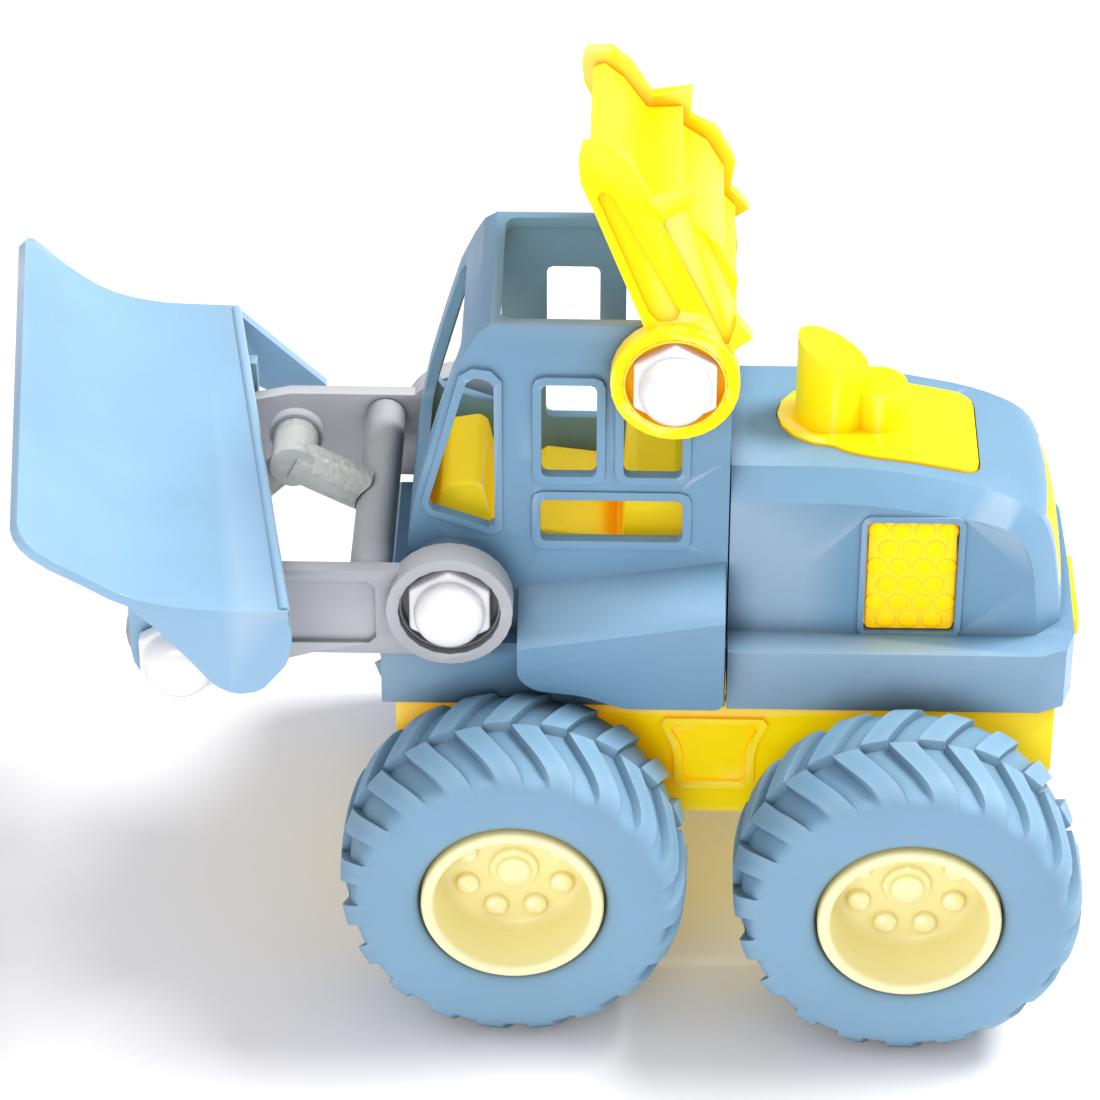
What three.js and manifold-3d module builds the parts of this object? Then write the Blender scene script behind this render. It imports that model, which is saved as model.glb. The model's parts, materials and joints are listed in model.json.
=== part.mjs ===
// Toy backhoe loader: a take-apart plastic vehicle with a front blade bucket and a rear boom.
// Millimetres. +X is forward (bucket end), +Y is the vehicle's left, +Z is up, ground at z = 0.
import * as THREE from 'three';
import { mergeVertices } from 'three/addons/utils/BufferGeometryUtils.js';
import Module from 'manifold-3d';

const wasm = await Module();
wasm.setup();

// ---- driving dimensions -------------------------------------------------------------------
const GAP = 0.3; // clearance between neighbouring pieces
const WALL = 2; // wall of the moulded shells

const WHEELBASE = 74.6;
const TYRE_R = 33;
const TYRE_HALF_W = 14.2; // outer half; the inner half is narrower
const TYRE_INNER_HALF_W = 13.6;
const TYRE_BORE_R = 17.6;
const RIM_R = 17.3;
const FRONT_TYRE_Y = 42.4; // middle of the front tyres
const REAR_TYRE_Y = 46; // the rear track is wider
const AXLE_R = 2;
const DISH_DEPTH = 12.5;

const BODY_Z = 60; // parting plane between the chassis tub and the body shells
const SKIRT_Z = 73.2; // top of the wide lower body
const SKIRT_HALF_W = 29;
const CAB_SKIRT_HALF_W = 28.4; // narrower in front, beside the loader arms
const SKIRT_FRONT_X = 25.5;
const SKIRT_REAR_X = -106;
const CAB_REAR_X = -39.6;
const CAB_HALF_W = 22;
const ROOF_Z = 139.6;
const ROOF_HALF_W = 20.2;
const HOOD_Z = 107.7;
const HOOD_TOP_HALF_W = 17.3;
const HOOD_BOW = 2; // how far the rear of the hood bulges on the centre line
const FENDER_HALF_W = 34;

const TUB_BOTTOM_Z = 33.2;
const TUB_HALF_W = 26.2;
const TUB_FRONT_X = 23;
const TUB_REAR_X = -102.4;

const LIFT = { x: 12.1, z: 85.4 }; // loader frame pivot
const TIP = { x: 62, z: 78 }; // bucket pivot
const SWING = { x: -29.1, z: 130.9 }; // boom pivot
const RING_R = 11.8;
const CUP_R = 9.6; // recess of each ring that takes a bolt
const ARM_IN_Y = 28.7;
const ARM_OUT_Y = 31.7;
const ARM_TOP_Z = 92.6;
const ARM_BOTTOM_Z = 73.8;
const SHANK_R = 3;
const SHANK_HOLE_R = SHANK_R + GAP;
const CROSS_TUBE = { x: 27.2, z: 88, r: 4 };
const LINK_NODE = { x: 43.2, z: 96.4, r: 4.3, yMin: -9, yMax: 3.2 };
const FRONT_TUBE_R = 5.2;

const BLADE_HALF_W = 52;
const BLADE_T = 2;
const LUG_IN_Y = 34.3;
const LUG_OUT_Y = 37.4;

const BOOM_RING_IN_Y = 22.6;
const BOOM_RING_OUT_Y = 26.2;
const BOOM_LEAN = 0.15; // inward lean of the boom plates per millimetre of height

// ---- materials ----------------------------------------------------------------------------
const plastic = (color, roughness) => () =>
  new THREE.MeshStandardMaterial({ color, roughness, metalness: 0 });
const bodyBlue = plastic(0x5f8aa8, 0.45);
const bucketBlue = plastic(0x86bfe2, 0.25);
const brightYellow = plastic(0xf7e600, 0.4);
const rimCream = plastic(0xf1eca0, 0.35);
const tyreBlue = plastic(0x5d87a3, 0.7);
const frameGrey = plastic(0x8d8f8c, 0.45);
const boltWhite = plastic(0xf2f2f0, 0.2);
const steel = () => new THREE.MeshStandardMaterial({ color: 0xb8bcc0, roughness: 0.35, metalness: 1 });

// ---- geometry helpers ---------------------------------------------------------------------
function solid(geometry) {
  const bare = geometry.clone();
  bare.deleteAttribute('normal');
  bare.deleteAttribute('uv');
  const merged = mergeVertices(bare, 1e-4);
  return new wasm.Manifold(new wasm.Mesh({
    numProp: 3,
    vertProperties: new Float32Array(merged.attributes.position.array),
    triVerts: new Uint32Array(merged.index.array),
  }));
}

function geometryOf(manifold) {
  const mesh = manifold.getMesh();
  const geometry = new THREE.BufferGeometry();
  geometry.setAttribute('position', new THREE.BufferAttribute(mesh.vertProperties.slice(), 3));
  geometry.setIndex(new THREE.BufferAttribute(mesh.triVerts.slice(), 1));
  geometry.computeVertexNormals();
  return geometry;
}

const joined = (first, ...rest) => rest.reduce((sum, piece) => sum.add(piece), first);
const without = (first, ...rest) => rest.reduce((left, piece) => left.subtract(piece), first);

function outline(points) {
  return new THREE.Shape(points.map(([a, b]) => new THREE.Vector2(a, b)));
}

function roundedRect(aMin, aMax, bMin, bMax, r) {
  const shape = new THREE.Shape();
  shape.moveTo(aMin + r, bMin);
  shape.lineTo(aMax - r, bMin);
  shape.absarc(aMax - r, bMin + r, r, -Math.PI / 2, 0);
  shape.lineTo(aMax, bMax - r);
  shape.absarc(aMax - r, bMax - r, r, 0, Math.PI / 2);
  shape.lineTo(aMin + r, bMax);
  shape.absarc(aMin + r, bMax - r, r, Math.PI / 2, Math.PI);
  shape.lineTo(aMin, bMin + r);
  shape.absarc(aMin + r, bMin + r, r, Math.PI, 1.5 * Math.PI);
  return shape;
}

function roundedPolygon(points, r) {
  const shape = new THREE.Shape();
  const corners = points.map(([a, b]) => new THREE.Vector2(a, b));
  corners.forEach((corner, i) => {
    const before = corners[(i + corners.length - 1) % corners.length];
    const after = corners[(i + 1) % corners.length];
    const enter = corner.clone().add(before.clone().sub(corner).setLength(r));
    const leave = corner.clone().add(after.clone().sub(corner).setLength(r));
    if (i === 0) shape.moveTo(enter.x, enter.y);
    else shape.lineTo(enter.x, enter.y);
    shape.quadraticCurveTo(corner.x, corner.y, leave.x, leave.y);
  });
  return shape;
}

// A shape drawn in (x, z), run from yMin to yMax and then optionally sheared.
function alongY(shape, yMin, yMax, curveSegments = 2, shear = null) {
  const geometry = new THREE.ExtrudeGeometry(shape, {
    depth: yMax - yMin, bevelEnabled: false, curveSegments,
  });
  geometry.rotateX(Math.PI / 2);
  geometry.translate(0, yMax, 0);
  if (shear) geometry.applyMatrix4(shear);
  return solid(geometry);
}

// A shape drawn in (y, z), run from xMin to xMax and then optionally sheared.
function alongX(shape, xMin, xMax, curveSegments = 2, shear = null) {
  const geometry = new THREE.ExtrudeGeometry(shape, {
    depth: xMax - xMin, bevelEnabled: false, curveSegments,
  });
  geometry.rotateX(Math.PI / 2);
  geometry.rotateZ(Math.PI / 2);
  geometry.translate(xMin, 0, 0);
  if (shear) geometry.applyMatrix4(shear);
  return solid(geometry);
}

// A shape drawn in (x, y), run from zMin to zMax.
function alongZ(shape, zMin, zMax, curveSegments = 2) {
  const geometry = new THREE.ExtrudeGeometry(shape, {
    depth: zMax - zMin, bevelEnabled: false, curveSegments,
  });
  geometry.translate(0, 0, zMin);
  return solid(geometry);
}

function block(xMin, xMax, yMin, yMax, zMin, zMax) {
  const geometry = new THREE.BoxGeometry(xMax - xMin, yMax - yMin, zMax - zMin);
  geometry.translate((xMin + xMax) / 2, (yMin + yMax) / 2, (zMin + zMax) / 2);
  return solid(geometry);
}

function rod(a, b, r, segments = 20) {
  const from = new THREE.Vector3(...a);
  const to = new THREE.Vector3(...b);
  const geometry = new THREE.CylinderGeometry(r, r, from.distanceTo(to), segments);
  const turn = new THREE.Quaternion().setFromUnitVectors(
    new THREE.Vector3(0, 1, 0), to.clone().sub(from).normalize());
  geometry.applyQuaternion(turn);
  geometry.translate(...from.add(to).multiplyScalar(0.5).toArray());
  return solid(geometry);
}

const rodY = (at, yMin, yMax, r, segments) => rod([at.x, yMin, at.z], [at.x, yMax, at.z], r, segments);

// The solid of a closed surface whose triangles all face in or all face out.
function outwardSolid(geometry) {
  const piece = solid(geometry);
  if (piece.volume() > 0) return piece;
  const flipped = geometry.clone();
  const index = flipped.index.array;
  for (let i = 0; i < index.length; i += 3) {
    [index[i], index[i + 1]] = [index[i + 1], index[i]];
  }
  return solid(flipped);
}

// A path of (radius, y) pairs turned about the Y axis through (x, z). It either starts and ends
// on the axis or returns to its first point.
function turned(path, at, segments) {
  const geometry = new THREE.LatheGeometry(path.map(([r, y]) => new THREE.Vector2(r, y)), segments);
  geometry.translate(at.x, 0, at.z);
  return outwardSolid(geometry);
}

// Triangles that fill a flat ring of (x, y, z) points, wound the same way as the ring.
function capOf(ring) {
  const flat = ring.map(([x, , z]) => new THREE.Vector2(x, z));
  const faces = THREE.ShapeUtils.triangulateShape(flat, []);
  const sameTurn = THREE.ShapeUtils.area(flat) * THREE.ShapeUtils.area(faces[0].map((i) => flat[i])) > 0;
  return sameTurn ? faces : faces.map(([i, j, k]) => [i, k, j]);
}

// Skins equal rings of (x, y, z) points and closes both ends.
function lofted(rings) {
  const n = rings[0].length;
  const index = [];
  for (let k = 0; k + 1 < rings.length; k++) {
    for (let i = 0; i < n; i++) {
      const a = k * n + i;
      const b = k * n + (i + 1) % n;
      index.push(a, b, b + n, a, b + n, a + n);
    }
  }
  const last = (rings.length - 1) * n;
  for (const [i, j, k] of capOf(rings[0])) index.push(i, k, j);
  for (const [i, j, k] of capOf(rings[rings.length - 1])) index.push(last + i, last + j, last + k);
  const geometry = new THREE.BufferGeometry();
  geometry.setAttribute('position', new THREE.Float32BufferAttribute(rings.flat(2), 3));
  geometry.setIndex(index);
  return outwardSolid(geometry);
}

const model = new THREE.Group();

function place(name, manifold, material) {
  const mesh = new THREE.Mesh(geometryOf(manifold), material());
  mesh.name = name;
  model.add(mesh);
}

const SIDES = [{ side: 'left', s: 1 }, { side: 'right', s: -1 }];
const span = (s, a, b) => (s > 0 ? [a, b] : [-b, -a]);

// ---- body shells --------------------------------------------------------------------------
// The cab and its wide skirt; inset shrinks every face for the hollow inside.
function cabVolume(inset) {
  const side = outline([
    [SKIRT_FRONT_X - inset, BODY_Z - inset],
    [SKIRT_FRONT_X - inset, SKIRT_Z - 1.4 - inset],
    [SKIRT_FRONT_X - 1.2 - inset, SKIRT_Z - inset],
    [21.4 - inset, SKIRT_Z + 0.2 - inset],
    [20.4 - inset, 92],
    [19.2 - inset, 100],
    [17.6 - inset, 107.5],
    [14.6 - inset, 118.5],
    [11.6 - inset, 128.5],
    [8.9 - inset, 134.5],
    [7 - inset, 137.8 - inset],
    [4.6 - inset, ROOF_Z - inset],
    [CAB_REAR_X + 2.5 + inset, ROOF_Z - inset],
    [CAB_REAR_X + inset, ROOF_Z - 2.5 - inset],
    [CAB_REAR_X + inset, BODY_Z - inset],
  ]);
  const half = [
    [CAB_SKIRT_HALF_W - inset, BODY_Z - inset],
    [CAB_SKIRT_HALF_W - inset, SKIRT_Z - 1.4 - inset],
    [CAB_SKIRT_HALF_W - 1.4 - inset, SKIRT_Z - inset],
    [CAB_HALF_W - inset, SKIRT_Z + 0.2 - inset],
    [CAB_HALF_W - inset, 112],
    [CAB_HALF_W - 0.5 - inset, 131],
    [CAB_HALF_W - 1.2 - inset, ROOF_Z - 1.8 - inset],
    [ROOF_HALF_W - inset, ROOF_Z - inset],
  ];
  const section = outline([...half, ...half.map(([y, z]) => [-y, z]).reverse()]);
  return alongY(side, -SKIRT_HALF_W - 1, SKIRT_HALF_W + 1)
    .intersect(alongX(section, CAB_REAR_X - 1, SKIRT_FRONT_X + 1));
}

// A side step that bulges out under the door, clears the front tyre and falls towards the front.
const FENDER_RISE = new THREE.Matrix4().makeShear(0, -0.167, 0, 0, 0, 0);
const FENDER_RIDGE_Z = 77.6; // top of the outer face, carried forward to x = 0
function fenderVolume(s, inset) {
  const face = roundedPolygon([
    [-0.4 - inset, 70 + 0.6 * inset], [-0.4 - inset, 92], [CAB_REAR_X + 0.4 + inset, 95],
    [CAB_REAR_X + 0.4 + inset, 63.2 + inset], [-20.5, 63.2 + inset], [-12.5, 66.2 + inset],
    [-3.6 - 0.6 * inset, 67.2 + inset],
  ], 1.9 - 0.4 * inset);
  const half = [
    [20, 50], [FENDER_HALF_W - inset, 50], [FENDER_HALF_W - inset, FENDER_RIDGE_Z - 1 - inset],
    [FENDER_HALF_W - 1.2 - inset, FENDER_RIDGE_Z + 0.6 - inset], [22, 82.6 - inset], [20, 82.6 - inset],
  ];
  const section = outline(s > 0 ? half : half.map(([y, z]) => [-y, z]).reverse());
  return alongY(face, ...span(s, 20, FENDER_HALF_W + 1), 4)
    .intersect(alongX(section, CAB_REAR_X, 1, 1, FENDER_RISE));
}

// Side windows, each an outline in (x, z).
const QUARTER_LIGHT = [[8.7, 129.4], [4.0, 128.8], [4.0, 96.0], [16.7, 100.6]];
const WINDOWS = [
  roundedRect(-14.9, -4.7, 108, 128, 1.2),
  roundedRect(-30.7, -19.9, 108, 128, 1.2),
  roundedRect(-31.0, -4.5, 93.6, 102.8, 1.2),
  roundedPolygon(QUARTER_LIGHT, 1.2),
];
const WINDOW_FRAMES = [
  roundedRect(-16.5, -3.1, 106.4, 129.6, 2),
  roundedRect(-32.3, -18.3, 106.4, 129.6, 2),
  roundedRect(-32.6, -2.9, 91.8, 104.6, 2),
  roundedPolygon([[9.9, 131.6], [2.5, 130.6], [2.5, 94.0], [18.2, 99.6]], 2),
];

function cabShell() {
  let shell = cabVolume(0);
  for (const { s } of SIDES) {
    shell = shell.add(fenderVolume(s, 0));
    shell = shell.add(rodY(LIFT, ...span(s, 20, ARM_IN_Y - GAP), 8.5, 18));
    for (const frame of WINDOW_FRAMES) {
      shell = shell.add(alongY(frame, ...span(s, CAB_HALF_W - 1, CAB_HALF_W + 0.4), 1));
    }
  }
  shell = shell.subtract(cabVolume(WALL));
  for (const { s } of SIDES) {
    shell = shell.subtract(fenderVolume(s, WALL));
    shell = shell.add(rodY(LIFT, ...span(s, 16.5, CAB_HALF_W), 5.6, 10));
    shell = shell.add(rodY(SWING, ...span(s, 17, CAB_HALF_W - 1.5), 5.6, 10));
    for (const window of WINDOWS) {
      shell = shell.subtract(alongY(window, ...span(s, 17, CAB_HALF_W + 2), 1));
    }
    shell = shell.subtract(rodY(LIFT, ...span(s, 10, 40), SHANK_HOLE_R, 10));
    shell = shell.subtract(rodY(SWING, ...span(s, 10, 40), SHANK_HOLE_R, 10));
  }
  const roofHatch = alongZ(roundedRect(-34, 2.9, -18, 18, 2.2), 130, 145);
  const windscreen = alongX(roundedRect(-16, 16, 100, 131.5, 3), 5, 30);
  return without(shell, roofHatch, windscreen);
}

// The engine hood and the rear of the skirt. The side outline shrinks from the crown to the side
// walls, so one soft chamfer runs along both edges of the top and down the rear.
const HOOD_FRONT_X = CAB_REAR_X - GAP;
const HOOD_BOTTOM_Z = SKIRT_Z - 2;
const HOOD_CROWN = [
  [HOOD_FRONT_X, HOOD_Z], [-57, HOOD_Z], [-69, 106.9], [-78.7, 105.3], [-86, 103.6], [-92, 101.2],
  [-96, 98.6], [-98.5, 95], [-100.3, 89.2], [-101.6, 80.3], [-102.6, HOOD_BOTTOM_Z],
];
const HOOD_BORDER = [
  [HOOD_FRONT_X, 102.6], [-55, 102.6], [-65, 102.2], [-74, 101], [-82, 99.7], [-88, 98.4],
  [-92, 96.6], [-94.9, 93.4], [-96.6, 88.9], [-97.6, 81.8], [-98.4, HOOD_BOTTOM_Z],
];
const HOOD_STEPS = 20;

function hoodVolume(inset) {
  const outlineOf = (points) => {
    const curve = new THREE.SplineCurve(points.map(([x, z]) => new THREE.Vector2(x, z)));
    const skin = [];
    for (let i = 0; i <= HOOD_STEPS; i++) {
      const along = curve.getTangent(i / HOOD_STEPS);
      const at = curve.getPoint(i / HOOD_STEPS);
      skin.push([at.x - along.y * inset, at.y + along.x * inset]);
    }
    const [rearX] = skin[skin.length - 1];
    return [
      [HOOD_FRONT_X - inset, HOOD_BOTTOM_Z - 3 * inset],
      [HOOD_FRONT_X - inset, skin[0][1]],
      ...skin.slice(1),
      [rearX, HOOD_BOTTOM_Z - 3 * inset],
    ];
  };
  const border = outlineOf(HOOD_BORDER);
  const crown = outlineOf(HOOD_CROWN);
  const wall = CAB_HALF_W - inset;
  const edge = HOOD_TOP_HALF_W - 0.4 * inset;
  const ring = (points, y) => points.map(([x, z]) => {
    const behind = THREE.MathUtils.smoothstep(-x, 80, 100);
    const bow = HOOD_BOW * behind * Math.cos((y / CAB_HALF_W) * Math.PI / 2);
    return [x - bow, y, z];
  });
  return lofted([
    ring(border, -wall), ring(crown, -edge), ring(crown, -0.6 * edge), ring(crown, -0.25 * edge),
    ring(crown, 0.25 * edge), ring(crown, 0.6 * edge), ring(crown, edge), ring(border, wall),
  ]);
}

function rearSkirtVolume(inset) {
  const front = HOOD_FRONT_X - inset;
  const rear = SKIRT_REAR_X + inset;
  const half = SKIRT_HALF_W - inset;
  const plan = new THREE.Shape();
  plan.moveTo(front, -half);
  plan.lineTo(front, half);
  plan.lineTo(rear + 7, half);
  plan.quadraticCurveTo(rear + 0.8, half - 0.8, rear + 0.4, half - 8);
  plan.quadraticCurveTo(rear - 0.4, 0, rear + 0.4, 8 - half);
  plan.quadraticCurveTo(rear + 0.8, 0.8 - half, rear + 7, -half);
  return alongZ(plan, BODY_Z - inset, SKIRT_Z - inset);
}

const VENT = { xMin: -82.3, xMax: -65.8, zMin: 73.9, zMax: 98.4 };
const BUMPER = { half: 11, zMin: 64.8, zMax: 69.4, rearX: -107.5 };
const GRILLE = { half: 13.5, zMin: 78, zMax: 95 };

// Plan outline of the yellow hood insert: round at the front, square at the rear.
function insertPlan(grow) {
  const noseX = -59.3;
  const noseR = 10.6 + grow;
  const half = 13.4 + grow;
  const shape = new THREE.Shape();
  shape.moveTo(-86.4 - grow, -half + 4);
  shape.quadraticCurveTo(-86.4 - grow, -half, -82.4 - grow, -half);
  shape.lineTo(-68, -half);
  shape.quadraticCurveTo(-62, -half + 0.4, noseX, -noseR);
  shape.absarc(noseX, 0, noseR, -Math.PI / 2, Math.PI / 2);
  shape.quadraticCurveTo(-62, half - 0.4, -68, half);
  shape.lineTo(-82.4 - grow, half);
  shape.quadraticCurveTo(-86.4 - grow, half, -86.4 - grow, half - 4);
  return shape;
}

function rearBlock(yHalf, zMin, zMax, xOut, xIn) {
  return block(xOut, xIn, -yHalf, yHalf, zMin, zMax);
}

function hoodShell() {
  let shell = joined(hoodVolume(0), rearSkirtVolume(0));
  for (const { s } of SIDES) {
    const frame = roundedRect(VENT.xMin - 1.5, VENT.xMax + 1.5, VENT.zMin - 1.2, VENT.zMax + 1.5, 1.8);
    shell = shell.add(alongY(frame, ...span(s, CAB_HALF_W - 1, CAB_HALF_W + 0.5), 1));
  }
  shell = without(shell, hoodVolume(WALL), rearSkirtVolume(WALL));
  for (const { s } of SIDES) {
    const hole = roundedRect(VENT.xMin - GAP, VENT.xMax + GAP, VENT.zMin - GAP, VENT.zMax + GAP, 1);
    shell = shell.subtract(alongY(hole, ...span(s, CAB_HALF_W - 4, CAB_HALF_W + 2), 1));
  }
  shell = shell.subtract(alongZ(insertPlan(GAP), 98, 112, 4));
  const rearWall = [-110, -90];
  shell = shell.subtract(rearBlock(GRILLE.half + GAP, GRILLE.zMin - GAP, GRILLE.zMax + GAP, ...rearWall));
  return shell.subtract(rearBlock(BUMPER.half + GAP, BUMPER.zMin - GAP, BUMPER.zMax + GAP, ...rearWall));
}

// ---- yellow trim --------------------------------------------------------------------------
function hoodInsert() {
  const crown = new THREE.SplineCurve(HOOD_CROWN.map(([x, z]) => new THREE.Vector2(x, z)));
  const hoodTop = crown.getPoints(HOOD_STEPS).filter((p) => p.x > -93);
  const curve = (drop) => hoodTop.map((p) => [p.x, p.y - drop]);
  const slab = (top, bottom) => alongY(outline([...curve(top), ...curve(bottom).reverse()]), -16, 16);
  const plug = slab(-0.5, WALL + 1.2).intersect(alongZ(insertPlan(0), 95, 115, 4));
  const flange = slab(WALL + GAP, WALL + 1.5).intersect(alongZ(insertPlan(1.3), 95, 115, 4));
  const stack = rod([-58.9, 0, 104], [-58.9, 0, 127], 6.8, 32);
  const slant = alongY(outline([[-45, 130], [-45, 129.5], [-72, 115.4], [-72, 130]]), -10, 10);
  const filter = rod([-67.5, 0, 103], [-67.5, 0, 115.4], 5.5, 28);
  return joined(plug, flange, without(stack, slant), filter);
}

function sideVent(s) {
  const plate = roundedRect(VENT.xMin, VENT.xMax, VENT.zMin, VENT.zMax, 1);
  const flange = roundedRect(VENT.xMin - 1.5, VENT.xMax + 1.5, VENT.zMin - 1.5, VENT.zMax - 1.8, 1.5);
  const inner = CAB_HALF_W - WALL - GAP;
  return joined(
    alongY(plate, ...span(s, inner - 0.5, CAB_HALF_W + 0.1), 1),
    alongY(flange, ...span(s, inner - 1.3, inner), 1),
  );
}

// The grille follows the leaning, bowed rear wall of the hood.
function rearGrille() {
  const plug = rearBlock(GRILLE.half, GRILLE.zMin, GRILLE.zMax, -110, -90);
  return hoodVolume(0).subtract(hoodVolume(WALL + 1)).intersect(plug);
}

// The bumper bar plugs into a slot in the rear of the skirt and is held by a flange inside it.
function rearBumper() {
  const bar = roundedRect(-BUMPER.half, BUMPER.half, BUMPER.zMin, BUMPER.zMax, 1.4);
  const flange = roundedRect(
    -BUMPER.half - 1.2, BUMPER.half + 1.2, BUMPER.zMin - 1.2, BUMPER.zMax + 1.2, 1.5);
  const inner = SKIRT_REAR_X + WALL + 2 * GAP;
  return joined(alongX(bar, BUMPER.rearX, inner + 0.5), alongX(flange, inner, inner + 1.2));
}

// ---- chassis ------------------------------------------------------------------------------
const AXLES = [
  { end: 'front', x: 0, tyreY: FRONT_TYRE_Y },
  { end: 'rear', x: -WHEELBASE, tyreY: REAR_TYRE_Y },
];
const SCREWS = [
  { name: 'front_left', x: 15, y: 14 }, { name: 'front_right', x: 15, y: -14 },
  { name: 'rear_left', x: -93, y: 14 }, { name: 'rear_right', x: -93, y: -14 },
];

function chassisTub() {
  const top = BODY_Z - GAP;
  const side = (inset) => roundedPolygon([
    [TUB_FRONT_X - inset, top + 1], [TUB_FRONT_X - inset, 44 + inset], [12, TUB_BOTTOM_Z + inset],
    [-88, TUB_BOTTOM_Z + inset], [TUB_REAR_X + inset, 44 + inset], [TUB_REAR_X + inset, top + 1],
  ], 1);
  let tub = alongY(side(0), -TUB_HALF_W, TUB_HALF_W);
  tub = tub.subtract(alongY(side(2.2), -TUB_HALF_W + 2.2, TUB_HALF_W - 2.2));
  tub = tub.subtract(block(-130, 60, -60, 60, top, top + 5));
  for (const { s } of SIDES) {
    const relief = roundedPolygon([
      [-27, 56], [-30.2, 48.4], [-30.2, 39.4], [-45.6, 39.4], [-45.6, 49], [-48.6, 56],
    ], 1.5);
    tub = tub.add(alongY(relief, ...span(s, TUB_HALF_W - 1, TUB_HALF_W + 0.9), 1));
    tub = tub.subtract(alongY(roundedPolygon([
      [-29, 54.4], [-31.8, 48.8], [-31.8, 41], [-44, 41], [-44, 49.4], [-46.6, 54.4],
    ], 1.2), ...span(s, TUB_HALF_W + 0.1, TUB_HALF_W + 3), 1));
  }
  for (const { x } of AXLES) {
    tub = tub.add(rodY({ x, z: TYRE_R }, -TUB_HALF_W, TUB_HALF_W, 6, 16));
    tub = tub.add(block(x - 6, x + 6, -TUB_HALF_W, TUB_HALF_W, TYRE_R, TYRE_R + 5));
    tub = tub.subtract(rodY({ x, z: TYRE_R }, -TUB_HALF_W - 2, TUB_HALF_W + 2, AXLE_R + GAP, 12));
  }
  for (const { x, y } of SCREWS) {
    tub = tub.add(rod([x, y, TUB_BOTTOM_Z + 1], [x, y, 50], 4, 10));
  }
  for (const { x, y } of SCREWS) {
    tub = tub.subtract(rod([x, y, 20], [x, y, 52], 1.5 + GAP, 8));
    tub = tub.subtract(rod([x, y, 20], [x, y, 42], 2.8 + GAP, 10));
  }
  return tub;
}

function chassisScrew({ x, y }) {
  return joined(rod([x, y, 39.6], [x, y, 41.6], 2.8, 10), rod([x, y, 41], [x, y, 56], 1.5, 8));
}

// ---- cab interior -------------------------------------------------------------------------
function floorPan() {
  return block(CAB_REAR_X + 3, SKIRT_FRONT_X - 3, -26.4, 26.4, BODY_Z, BODY_Z + 2);
}

function controlConsole() {
  const side = roundedPolygon([
    [18.6, BODY_Z + 2.3], [18.6, 84], [16, 92], [14.4, 98.6], [6.6, 100], [4.6, 90], [3, BODY_Z + 2.3],
  ], 1.4);
  return alongY(side, -12, 12, 1);
}

function driverSeat() {
  const side = roundedPolygon([
    [-1.5, BODY_Z + 2.3], [-3.4, 91], [-16.4, 89.4], [-19.4, 84], [-20.6, 102.6], [-31.2, 101.4],
    [-33, BODY_Z + 2.3],
  ], 1.6);
  return alongY(side, -14.4, 14.4, 1);
}

// ---- wheels -------------------------------------------------------------------------------
function tyre(x, y, s) {
  const outer = [
    [TYRE_BORE_R, 12.4], [20.4, TYRE_HALF_W], [28.5, TYRE_HALF_W], [30.8, 13.2], [32.2, 11],
    [32.8, 7], [TYRE_R, 2],
  ];
  const inner = [
    [TYRE_BORE_R, 12.4], [20.4, TYRE_INNER_HALF_W], [26.6, TYRE_INNER_HALF_W], [29.6, 12.4], [31.6, 10],
    [32.7, 6], [TYRE_R, 2],
  ];
  const path = [
    ...outer.map(([r, d]) => [r, y + s * d]),
    ...inner.map(([r, d]) => [r, y - s * d]).reverse(),
  ];
  return turned([...path, path[0]], { x, z: TYRE_R }, 32);
}

// Deep dished wheel: an outer barrel, a recessed disc and a hub boss on the axle.
function rim(x, y, s) {
  const lip = y + s * 13.9;
  const disc = lip - s * DISH_DEPTH;
  const back = y - s * 11.5;
  const hubBack = y - s * 10;
  const path = [
    [0, disc - s * 1.2], [AXLE_R + GAP, disc - s * 1.2], [AXLE_R + GAP, hubBack], [5, hubBack],
    [5, disc - s * 2], [RIM_R - 2, disc - s * 2], [RIM_R - 1.6, back], [RIM_R, back],
    [RIM_R, lip - s * 0.6], [RIM_R - 0.5, lip], [RIM_R - 1.6, lip], [RIM_R - 2, lip - s * 0.6],
    [RIM_R - 2.6, disc + s * 1.5], [RIM_R - 4.1, disc],
    [5, disc], [4.6, disc + s * 1.4], [0, disc + s * 1.4],
  ];
  return turned(path, { x, z: TYRE_R }, 24);
}

// ---- bolts --------------------------------------------------------------------------------
// A large toy bolt: hexagon flange, round cap with a domed end, plain shank pointing inward.
const HEX_R = 8.6;
const HEX_T = 2.8;
function bolt(at, s, seatY, shankEndY) {
  const hex = rodY(at, ...span(s, seatY, seatY + HEX_T), HEX_R, 6);
  const cap = [[0, 2.4], [6.7, 2.4], [6.7, 3.6], [6.1, 5.4], [4.6, 6.9], [2.4, 7.8], [0, 8]];
  const dome = turned(cap.map(([r, d]) => [r, s * (seatY + d)]), at, 16);
  const shank = rodY(at, ...span(s, shankEndY, seatY + 0.5), SHANK_R, 10);
  return joined(hex, dome, shank);
}

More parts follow.
